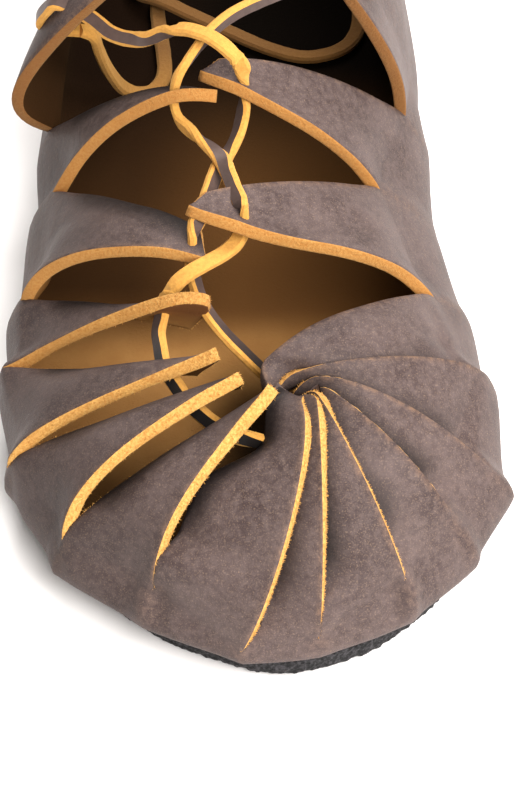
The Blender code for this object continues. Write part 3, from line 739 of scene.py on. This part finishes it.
def hide_mesh():
    """The hide with its thickness: points, faces, the finish of each face and the grain's painted shade and
    wear.
    """
    points, faces, shade_and_wear, covered = hide_sheet()
    points = creased(points, point_normals(points, faces, EVENING))
    normals = point_normals(points, faces, EVENING)
    rims = rim_edges(faces)
    count = len(points)
    outward = np.zeros_like(points)
    for a, b in rims:
        out = np.cross(points[b] - points[a], normals[a])
        outward[a] += out
        outward[b] += out
    everything = [points, points - normals * HIDE]
    rim_points = sorted({k for edge in rims for k in edge})
    outward[rim_points] = unit(outward[rim_points])
    cut_ring = [{k: k for k in rim_points}]
    total = 2 * count
    for depth, bulge in CUT_ROWS:
        base = points[rim_points] - normals[rim_points] * HIDE * depth
        rough = np.array([CUT_ROUGH * wobble(p, CUT_GRAIN) for p in base])
        everything.append(base + outward[rim_points] * (bulge + rough)[:, None])
        cut_ring.append({k: total + place for place, k in enumerate(rim_points)})
        total += len(rim_points)
    cut_ring.append({k: k + count for k in rim_points})
    shell = list(faces) + [tuple(k + count for k in reversed(face)) for face in faces]
    finish = [GRAIN] * len(faces) + [FLESH] * len(faces)
    rim_finish = [GRAIN if a in covered and b in covered else CUT for a, b in rims]
    for name, part in GRAIN_CUTS.items():
        slit = SLITS[name]
        first, last = (np.array(part[:2]) * STRIP_ROWS).astype(int)
        grain_cut_line = edge_curve(slit.root, slit.tip, slit.pull, slit.swirl)[first:last + 1]
        for place, (a, b) in enumerate(rims):
            if rim_finish[place] == CUT and np.linalg.norm(grain_cut_line - points[a], axis=1).min() < part.reach:
                rim_finish[place] = GRAIN
    for upper, lower in zip(cut_ring, cut_ring[1:]):
        shell += [(upper[b], upper[a], lower[a], lower[b]) for a, b in rims]
        finish += rim_finish
    return placed(np.concatenate(everything)), shell, finish, shade_and_wear


# Oiled nubuck, the buffed grain of a pull-up hide: dark brown with a soft mauve sheen, clouded where
# the oil has moved, with pale specks of nap and fine pores, and painted shade under edges and on the outer
# side
nubuck, tree, shader = new_material("oiled_nubuck", Roughness=0.55, IOR=1.4, Specular_IOR_Level=0.18,
                                    Sheen_Weight=0.03, Sheen_Roughness=0.45, Sheen_Tint=linear("#cdb9b0"))
where = add_node(tree, "ShaderNodeTexCoord").outputs["Object"]
clouds = add_node(tree, "ShaderNodeTexNoise",
                  {"Vector": where, "Scale": 1 / (13 * MM), "Detail": 5, "Roughness": 0.6}).outputs["Fac"]
specks = add_node(tree, "ShaderNodeTexNoise",
                  {"Vector": where, "Scale": 1 / (0.32 * MM), "Detail": 2, "Roughness": 0.6}).outputs["Fac"]
nap = add_node(tree, "ShaderNodeTexNoise",
               {"Vector": where, "Scale": 1 / (1.6 * MM), "Detail": 6, "Roughness": 0.7}).outputs["Fac"]
rub = add_node(tree, "ShaderNodeAttribute", attribute_name="rub").outputs["Fac"]
painted_shade = add_node(tree, "ShaderNodeAttribute", attribute_name="painted_shade").outputs["Fac"]
raised_nap = Fade(nap, 0.42, 0.72)
oil_and_shade = coloured_over(tree, "#3d3231", "#534745", Fade(clouds, 0.35, 0.68))
napped = coloured_over(tree, oil_and_shade, "#71635f", raised_nap, most=0.45)
specked = coloured_over(tree, napped, "#97806a", Fade(specks, 0.54, 0.75), most=0.42)
rubbed = coloured_over(tree, specked, "#c08a4a", raised_nap, Fade(rub, 0, 1), most=0.45)
# Painted shade: near black under the edges above, along the outer strips' rear edges and on the outer side
shaded_grain = coloured_over(tree, rubbed, "#0d0a09", Fade(painted_shade, 0, 1), most=0.88)
surfaced(tree, shader, shaded_grain, Relief(clouds, 0.25, 1), Relief(nap, 0.45, 0.4), Relief(specks, 0.35, 0.15))
gloss = add_node(tree, "ShaderNodeMapRange",
                 {"Value": nap, "From Min": 0.3, "From Max": 0.7, "To Min": 0.42, "To Max": 0.62})
tree.links.new(gloss.outputs["Result"], shader.inputs["Roughness"])


def place_on(tree):
    """The place on the piece itself, as one socket and as its X, Y and Z sockets."""
    where = add_node(tree, "ShaderNodeTexCoord").outputs["Object"]
    return where, add_node(tree, "ShaderNodeSeparateXYZ", {"Vector": where}).outputs


# The flesh side: tan suede with a short soft nap. Painted shade darkens it at the toe, browns it behind the
# ball, darkens it towards the heel, on the outer side and under the fan, and browns the outer tabs' tips
suede, tree, shader = new_material("flesh_suede", Roughness=0.95, IOR=1.3, Specular_IOR_Level=0.1,
                                   Sheen_Weight=0.02, Sheen_Roughness=0.6, Sheen_Tint=linear("#e0b070"))
where, place = place_on(tree)
patches = add_node(tree, "ShaderNodeTexNoise",
                   {"Vector": where, "Scale": 1 / (9 * MM), "Detail": 5, "Roughness": 0.6}).outputs["Fac"]
fuzz = add_node(tree, "ShaderNodeTexNoise",
                {"Vector": where, "Scale": 1 / (0.8 * MM), "Detail": 5, "Roughness": 0.7}).outputs["Fac"]
tan = coloured_over(tree, "#8f6336", "#b0854e", Fade(patches, 0, 1))
# Painted shade: darker towards the toe's tip, inside the toe under the gathered tabs
toe_shade = coloured_over(tree, tan, "#2e1f10", Fade(place["Y"], -0.07, -0.092, "SMOOTHSTEP"), most=0.8)
# Painted shade: browner behind the ball, inside the waist under the straps
browner_behind = coloured_over(tree, toe_shade, "#5e3f20", Fade(place["Y"], -0.053, -0.036, "SMOOTHSTEP"))
# Painted shade: near black towards the heel, deep inside the shoe
shaded_and_worn = coloured_over(tree, browner_behind, "#050302", Fade(place["Y"], -0.02, 0.045, "SMOOTHSTEP"))
# Painted shade: darker on the outer side of the waist
outer_shade = coloured_over(tree, shaded_and_worn, "#1c1008", Fade(place["X"], -0.002, -0.03, "SMOOTHSTEP"),
                     Fade(place["Y"], -0.05, -0.03), most=0.7)
# Painted shade: near black under the fan of toe tabs
under_fan_shade = coloured_over(tree, outer_shade, "#0a0604", Fade(place["X"], -0.019, 0, "SMOOTHSTEP"),
                    Fade(place["Y"], -0.044, -0.07, "SMOOTHSTEP"), most=0.97)
# Painted shade: brown on the undersides of the outer tabs' curled tips
outer_tips_shade = coloured_over(tree, under_fan_shade, "#5e3a22", Fade(place["Z"], 0.037, 0.043),
                     Fade(place["Y"], -0.05, -0.0501), Fade(place["X"], -0.0085, -0.0086), most=0.9)
surfaced(tree, shader, outer_tips_shade, Relief(fuzz, 0.6, 0.4))

# The raw cut: bright ochre, dry and fibrous, with darker gaps between its bundles of fibre, duller from
# the toe to the ball with painted shade, and browner behind the instep
raw_cut, tree, shader = new_material("raw_cut_edge", Roughness=0.95, IOR=1.4, Sheen_Weight=0.2,
                                     Sheen_Roughness=0.5, Sheen_Tint=linear("#ffd890"))
where, place = place_on(tree)
bundles = add_node(tree, "ShaderNodeTexNoise",
                   {"Vector": where, "Scale": 1 / (0.6 * MM), "Detail": 5, "Roughness": 0.7}).outputs["Fac"]
blots = add_node(tree, "ShaderNodeTexNoise",
                 {"Vector": where, "Scale": 1 / (6 * MM), "Detail": 3}).outputs["Fac"]
ochre = coloured_over(tree, "#bb8238", "#e2b466", Fade(bundles, 0.35, 0.62))
blotted = coloured_over(tree, ochre, "#a8652a", Fade(blots, 0.5, 0.75), most=0.25)
# Painted shade: duller from the toe back to the ball
shaded_behind = coloured_over(tree, blotted, "#96602a", Fade(place["Y"], -0.105, -0.045), most=0.75)
browner_behind = coloured_over(tree, shaded_behind, "#5e3616", Fade(place["Y"], -0.012, 0), most=0.75)
surfaced(tree, shader, browner_behind, Relief(bundles, 0.9, 0.5))

hide_points, hide_faces, hide_finish, grain_shade_and_wear = hide_mesh()
hide = new_piece("wrapped_hide", hide_points, hide_faces, [nubuck, suede, raw_cut], hide_finish)
# The grain's painted shade and rubbed hide, for its material to read
for name, values in zip(("painted_shade", "rub"), grain_shade_and_wear.T):
    spread_out = np.zeros(len(hide_points), np.float32)
    spread_out[:len(values)] = values
    hide.data.attributes.new(name, "FLOAT", "POINT").data.foreach_set("value", spread_out)
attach(hide, "root")
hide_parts("upper")

# Loose fibres stand out of the cuts round the toe, where the knife has torn the hide. They are part of
# the same hide, sown over its cut faces, and end behind the ball and at the flat laps of the inner side.
# How far back they go, and the slanting line on the inner side, x + slant * y, where they end
FIBRES_BEHIND = 78.0
FIBRES_INNER = 51.0
FIBRES_SLANT = 0.84
FIBRE_SIZES = {"Per Square Metre": 6e6, "Length": 0.55 * MM, "Radius": 0.08 * MM, "Lean": 0.9}
fibres_tree = bpy.data.node_groups.new("sown_fibres", "GeometryNodeTree")
fibres_tree.interface.new_socket("Geometry", in_out="OUTPUT", socket_type="NodeSocketGeometry")
fibres_tree.interface.new_socket("Geometry", in_out="INPUT", socket_type="NodeSocketGeometry")
size_sockets = {}
for name in FIBRE_SIZES:
    size_socket = fibres_tree.interface.new_socket(name, in_out="INPUT", socket_type="NodeSocketFloat")
    size_sockets[name] = size_socket.identifier
given = add_node(fibres_tree, "NodeGroupInput").outputs
sown = add_node(fibres_tree, "GeometryNodeDistributePointsOnFaces",
                {"Mesh": given["Geometry"], "Density": given["Per Square Metre"], "Seed": 4})
fibre = add_node(fibres_tree, "GeometryNodeMeshCone",
                 {"Vertices": 3, "Radius Top": 0.0, "Radius Bottom": given["Radius"],
                  "Depth": given["Length"]})
spin = add_node(fibres_tree, "FunctionNodeRandomValue", {0: (-1, -1, -3), 1: (1, 1, 3), "Seed": 5},
                data_type="FLOAT_VECTOR")
leaning = add_node(fibres_tree, "ShaderNodeVectorMath", {0: spin.outputs[0], "Scale": given["Lean"]},
                   operation="SCALE")
turn = add_node(fibres_tree, "FunctionNodeEulerToRotation", {"Euler": leaning.outputs["Vector"]})
stand = add_node(fibres_tree, "FunctionNodeRotateRotation",
                 {"Rotation": sown.outputs["Rotation"], "Rotate By": turn.outputs["Rotation"]},
                 rotation_space="LOCAL")
grown = add_node(fibres_tree, "FunctionNodeRandomValue", {2: 0.4, 3: 1.2, "Seed": 6}, data_type="FLOAT")
planted = add_node(fibres_tree, "GeometryNodeInstanceOnPoints",
                   {"Points": sown.outputs["Points"], "Instance": fibre.outputs["Mesh"],
                    "Rotation": stand.outputs["Rotation"], "Scale": grown.outputs[1]})
real = add_node(fibres_tree, "GeometryNodeRealizeInstances", {"Geometry": planted.outputs["Instances"]})
raw = add_node(fibres_tree, "GeometryNodeSetMaterial",
               {"Geometry": real.outputs["Geometry"], "Material": raw_cut})
add_node(fibres_tree, "NodeGroupOutput", {"Geometry": raw.outputs["Geometry"]})

across, back, _ = (hide_points / MM + LAST_ORIGIN).T
torn = (back < FIBRES_BEHIND) & (across + FIBRES_SLANT * back < FIBRES_INNER)
torn_faces = [face for face, kind in zip(hide_faces, hide_finish) if kind == CUT and torn[face[0]]]
fibres = new_piece("toe_cut_fibres", hide_points, torn_faces, [raw_cut])
growing = fibres.modifiers.new("sown_fibres", "NODES")
growing.node_group = fibres_tree
for name, value in FIBRE_SIZES.items():
    growing[size_sockets[name]] = value
grown_mesh = bpy.data.meshes.new_from_object(fibres.evaluated_get(bpy.context.evaluated_depsgraph_get()))
fibres.modifiers.clear()
fibres.data = grown_mesh
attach(fibres, "root")

# The lace: one flat thong cut from the same hide, its grain face near black and its other sides raw.
# It starts behind the inner quarter, crosses up and down the instep through the straps, gathers the
# toe tabs from inside, and comes back to the outer quarter. Each stretch says where its grain looks.
THONG_WIDTH = 3.6
THONG_THICKNESS = 2.0
THONG_CORNER = 0.55
THONG_STEP = 1.2
# How uneven its width is, as a share, over what length that changes, and the angle of a sharp corner
THONG_ROUGH = 0.06
THONG_ROUGH_LENGTH = 2.5
THONG_SHARP = 35
GRAIN_SIDE, RAW_SIDE = range(2)
LOOKS = {
    "up": (0, 0, 1), "down": (0, 0, -1), "front": (0, -1, 0), "back": (0, 1, 0), "out": (-1, 0, 0),
    "in": (1, 0, 0), "front_out": (-0.7, -0.7, 0.1), "front_in": (0.7, -0.7, 0),
    "front_up": (0, -0.7, 0.7), "out_up": (-0.7, 0, 0.7), "in_up": (0.7, 0, 0.7),
    "gathered": (-0.65, -0.6, 0.5),
}
Stretch = namedtuple("Stretch", "look stops")
LACED = [
    Stretch("down", [(20.5, 152.5, 52.6), (22.8, 152.4, 55)]),
    Stretch("in", [(25.2, 151.8, 57.8), (24.7, 150.6, 59.8), (23.4, 148.8, 61.8)]),
    Stretch("in_up", [(21.4, 147.6, 64.8)]), Stretch("up", [(18.5, 147, 65.9)]),
    Stretch("front_in", [(13, 146, 65.5), (6, 143, 66), (-0.9, 138.6, 66.5), (-6.8, 134, 67),
                         (-10.9, 129.6, 67)]),
    Stretch("in", [(-14, 125.5, 66.4), (-16.9, 121.9, 64.5), (-19, 119.8, 62), (-20, 119, 58.5),
                   (-20, 117.5, 55.2), (-19, 115, 53.2), (-16.5, 112, 52.7)]),
    Stretch("in_up", [(-13, 107.8, 52.7)]), Stretch("up", [(-10, 103.8, 53)]),
    Stretch("out_up", [(-8.2, 98.8, 53.4), (-6.8, 93.6, 53.6), (-5.4, 89.6, 53.2)]),
    Stretch("out", [(-4.6, 88.2, 50.5)]),
    Stretch("down", [(-5.2, 86.6, 47.8), (-6.8, 84, 46.5), (-9, 81.2, 46.8), (-11.6, 78.4, 47.6),
                     (-14.6, 75.8, 48), (-17.4, 74.1, 47.2), (-19.6, 73, 45.2)]),
    Stretch("front", [(-21, 72.2, 42.6)]), Stretch("front_out", [(-21.8, 70.6, 40.6)]),
    Stretch("gathered", [(-22.5, 68, 39.6), (-22.8, 65, 39.3), (-22.4, 61.6, 39.3), (-21.5, 56.9, 38.6),
                         (-19.2, 52.4, 38), (-16.5, 47.9, 37.6), (-13.4, 44.3, 37.3), (-9.4, 40.6, 37.2),
                         (-5.2, 38.6, 36.9)]),
    Stretch("front", [(-1, 38.2, 36), (3, 38.8, 33.5)]), Stretch("front_in", [(6.5, 41.5, 29.5)]),
    Stretch("in", [(8, 47, 26)]),
    Stretch("in_up", [(6.5, 53, 26), (2.5, 58, 29.5), (-1.7, 60.5, 33.5), (-5.5, 62.4, 37),
                      (-9.3, 65, 40), (-12.6, 68.8, 42.3), (-14.6, 73.6, 43.4), (-15.6, 78.5, 43.6),
                      (-15.8, 82, 44.8)]),
    Stretch("in", [(-15.7, 83.4, 48.5)]),
    Stretch("in_up", [(-15.2, 85, 51), (-13.5, 89.4, 51.4), (-12.1, 95.6, 51), (-10.8, 101.4, 50.5)]),
    Stretch("up", [(-9.3, 105.4, 50.2)]),
    Stretch("out_up", [(-7.4, 108.6, 51), (-5.9, 112.4, 52.2), (-5, 117, 53.6)]),
    Stretch("out", [(-4.6, 120.3, 56), (-4.8, 120.8, 60)]), Stretch("back", [(-5.3, 120, 64.5)]),
    Stretch("down", [(-6.9, 120, 67.6), (-9.1, 121.4, 69.2), (-12.1, 123.5, 69.9), (-15.4, 125.7, 69.5),
                     (-18.7, 127.9, 68)]),
    Stretch("front", [(-22.1, 129.6, 65.5), (-25.4, 130.7, 62.7)]),
    Stretch("front_up", [(-29.2, 132.3, 60.6), (-34, 135.5, 59.2), (-38.5, 140, 59.4),
                         (-43, 143.2, 60.4)]),
    Stretch("out_up", [(-46.8, 144.4, 60.2)]),
    Stretch("out", [(-48.9, 145.2, 57.6), (-50.5, 146.1, 54.2), (-50.3, 146.8, 51.4)]),
    Stretch("down", [(-47.2, 147, 49.9), (-42, 147, 49.4)]),
]


def smooth_route(route):
    """Evenly spaced points on a smooth line through the stops, and where the grain looks at each."""
    rows = [[*stop, *LOOKS[stretch.look]] for stretch in route for stop in stretch.stops]
    dense = through(np.array(rows, float), SPAN_SAMPLES - 1)
    run = run_along(dense[:, :3])
    even = spread(dense, run, int(run[-1] / THONG_STEP) + 1)
    return even[:, :3], even[:, 3:]


def thong_piece(name, route):
    """A flat thong along its route: the piece and the line that it follows, in metres."""
    line, look = smooth_route(route)
    along = unit(np.gradient(line, axis=0))
    grain = unit(look - along * (look * along).sum(1, keepdims=True))
    side = np.cross(along, grain)
    wide, thick, corner = THONG_WIDTH / 2, THONG_THICKNESS / 2, THONG_CORNER
    section = [(corner - wide, thick), (wide - corner, thick), (wide, thick - corner),
               (wide, corner - thick), (wide - corner, -thick), (corner - wide, -thick),
               (-wide, corner - thick), (-wide, thick - corner)]
    count = len(section)
    points, faces, finish = [], [], []
    for centre, s, g in zip(line, side, grain):
        for across, above in section:
            rough = 1 + THONG_ROUGH * wobble(centre + s * across, THONG_ROUGH_LENGTH)
            points.append(centre + s * across * rough + g * above)
    for ring in range(len(line) - 1):
        for k in range(count):
            a, b = ring * count + k, ring * count + (k + 1) % count
            faces.append((a, a + count, b + count, b))
            finish.append(GRAIN_SIDE if k == 0 else RAW_SIDE)
    last = (len(line) - 1) * count
    faces += [tuple(range(count)), tuple(last + k for k in reversed(range(count)))]
    finish += [RAW_SIDE, RAW_SIDE]
    piece = new_piece(name, placed(points), faces, [thong_grain, thong_raw], finish)
    piece.data.set_sharp_from_angle(angle=math.radians(THONG_SHARP))
    return piece, placed(line)


# The thong's grain: the same oiled hide, handled until it is nearly black and a little shiny; painted shade
# makes it blacker still in the toe
thong_grain, tree, shader = new_material("thong_grain", Roughness=0.5, IOR=1.4, Sheen_Weight=0.05)
where, place = place_on(tree)
rub = add_node(tree, "ShaderNodeTexNoise",
               {"Vector": where, "Scale": 1 / (2.2 * MM), "Detail": 5, "Roughness": 0.65}).outputs["Fac"]
dark = coloured_over(tree, "#362925", "#5c4a43", Fade(rub, 0, 1))
# Painted shade: near black in the toe, between the gathered tabs
oil_and_shade = coloured_over(tree, dark, "#040302", Fade(place["Y"], -0.066, -0.078), most=0.93)
surfaced(tree, shader, oil_and_shade, Relief(rub, 0.4, 0.3))

# Its other sides: raw ochre, smoother than the hide's cuts, and darker towards the heel with painted shade
thong_raw, tree, shader = new_material("thong_raw_side", Roughness=0.9, IOR=1.4, Sheen_Weight=0.2,
                                       Sheen_Tint=linear("#ffd890"))
where, place = place_on(tree)
bundles = add_node(tree, "ShaderNodeTexNoise",
                   {"Vector": where, "Scale": 1 / (0.9 * MM), "Detail": 5, "Roughness": 0.7}).outputs["Fac"]
ochre = coloured_over(tree, "#a56c2a", "#dea850", Fade(bundles, 0, 1))
# Painted shade: darker towards the heel, where the loose ends lie inside
shaded_behind = coloured_over(tree, ochre, "#5e3c1c", Fade(place["Y"], 0.012, 0.045), most=0.85)
surfaced(tree, shader, shaded_behind, Relief(bundles, 0.7, 0.4))

laced, _ = thong_piece("laced_thong", LACED)
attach(laced, "root")
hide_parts("lace_toe", "lace_cross_ball", "lace_cross_instep", "lace_cross_ankle")

# The lace's two ends: they come in through the back eyelets of the quarters, hang down inside and lie
# loose on the hide in the heel. They are cut off square.
Loose = namedtuple("Loose", "length replaces route")
LOOSE_ENDS = {
    "thong_end_outer": Loose(0.122, "lace_end_outer", [
        Stretch("down", [(-42, 147, 49.4)]),
        Stretch("out", [(-39, 148.2, 46.6), (-38.2, 152, 38), (-36.6, 157, 27), (-34, 161.8, 17)]),
        Stretch("down", [(-30.5, 165, 11.8), (-26.8, 168, 9.6), (-24.4, 173, 9.6), (-24.8, 181, 9.6),
                         (-26, 190, 9.6), (-26.5, 199, 9.6), (-25, 209, 9.6), (-19, 218, 9.6),
                         (-10, 222, 9.6), (-2, 218, 9.6)]),
    ]),
    "thong_end_inner": Loose(0.154, "lace_end_inner", [
        Stretch("in", [(20.3, 152.6, 52.6), (20.5, 159, 48.5), (21.3, 170, 42), (22.2, 180, 36),
                       (22.8, 188.5, 31.5), (23, 195.5, 26.5), (23.1, 199.2, 20.5), (23, 198.6, 14.5)]),
        Stretch("down", [(22.8, 194.6, 10.7), (22.2, 188.8, 9.6), (19.8, 183.6, 9.6), (14.8, 180.2, 9.6),
                         (8.2, 179.4, 9.6), (0.5, 182.3, 9.6), (-8, 187.2, 9.8), (-17, 191.6, 11.2),
                         (-25, 195, 13), (-31, 199.4, 11.4), (-33.6, 206, 9.8), (-33.5, 214, 9.6)]),
    ]),
}
for name, loose in LOOSE_ENDS.items():
    end, line = thong_piece(name, loose.route)
    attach(end, "root")
    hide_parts(loose.replaces)
